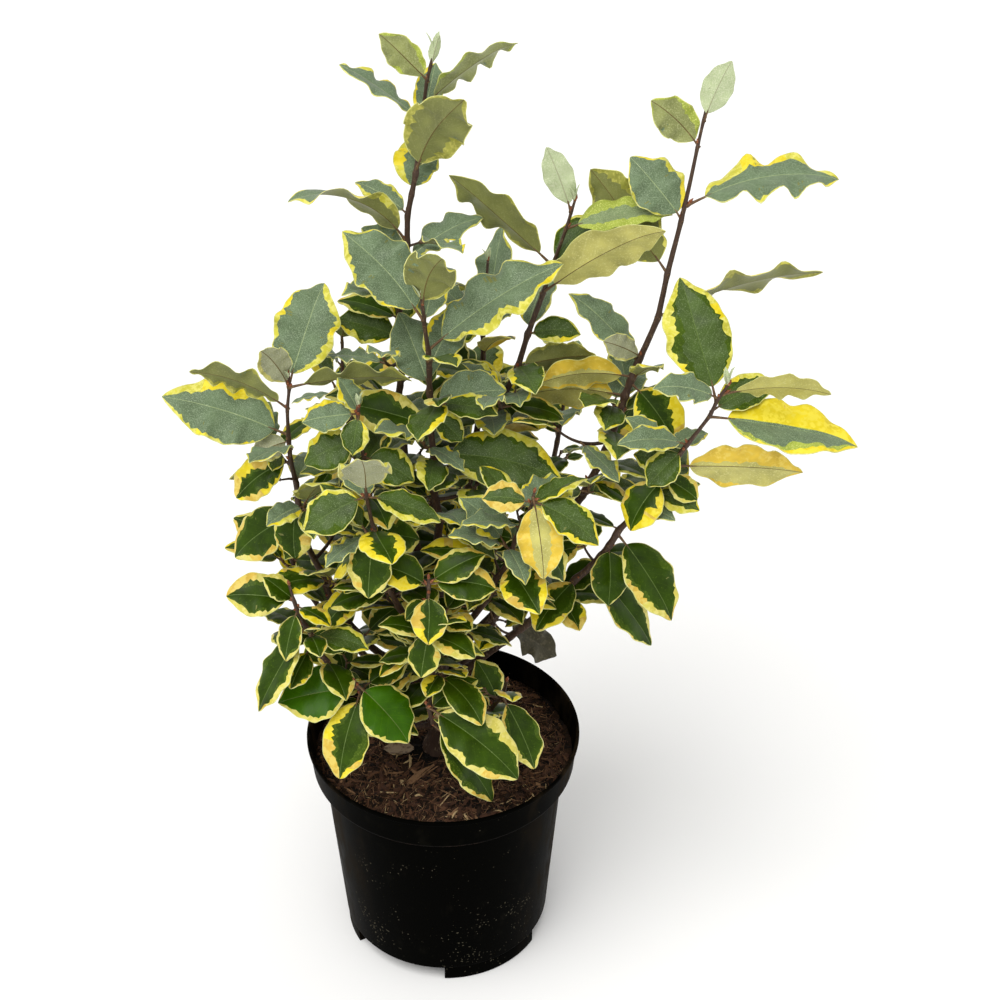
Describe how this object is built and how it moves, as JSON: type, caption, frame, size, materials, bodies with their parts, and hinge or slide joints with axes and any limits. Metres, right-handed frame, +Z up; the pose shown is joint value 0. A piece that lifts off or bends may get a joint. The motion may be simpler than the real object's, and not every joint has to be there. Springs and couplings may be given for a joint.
{
  "type": "potted ebbinge silverberry",
  "caption": "Young evergreen shrub with yellow-edged leaves on a short branching stem, in a round black nursery pot filled with soil.",
  "frame": {"origin": "centre of the flat underside of the pot's base", "axes": "+Z up along the pot's axis, +X towards the side of the longest low bough, -Y the front"},
  "size_m": [0.4236, 0.2613, 0.6697],
  "materials": {
    "pot": "black moulded plastic, slightly dusty",
    "soil": "damp compost with coir fibres and bark chips",
    "bark": "dark reddish brown scaly bark",
    "leaves": "leathery green leaves with yellow edges"
  },
  "bodies": {
    "root": {"pot": "pot", "soil": "soil", "trunk": "bark", "bough_back": "bark", "bough_back_left": "bark", "bough_back_low": "bark", "bough_back_right": "bark", "bough_centre_right": "bark", "bough_left": "bark", "bough_low_right": "bark", "bough_lower_back_left": "bark", "bough_lower_left": "bark", "bough_tall_left": "bark", "bough_tall_right": "bark", "foliage_back": "leaves", "foliage_back_left": "leaves", "foliage_back_low": "leaves", "foliage_back_right": "leaves", "foliage_centre": "leaves", "foliage_centre_right": "leaves", "foliage_front": "leaves", "foliage_front_low": "leaves", "foliage_front_low_left": "leaves", "foliage_front_low_right": "leaves", "foliage_left": "leaves", "foliage_low_right": "leaves", "foliage_lower_back_left": "leaves", "foliage_lower_left": "leaves", "foliage_mid_left": "leaves", "foliage_mid_right": "leaves", "foliage_tall_left": "leaves", "foliage_tall_right": "leaves", "foliage_upper_left": "leaves"}
  },
  "joints": []
}
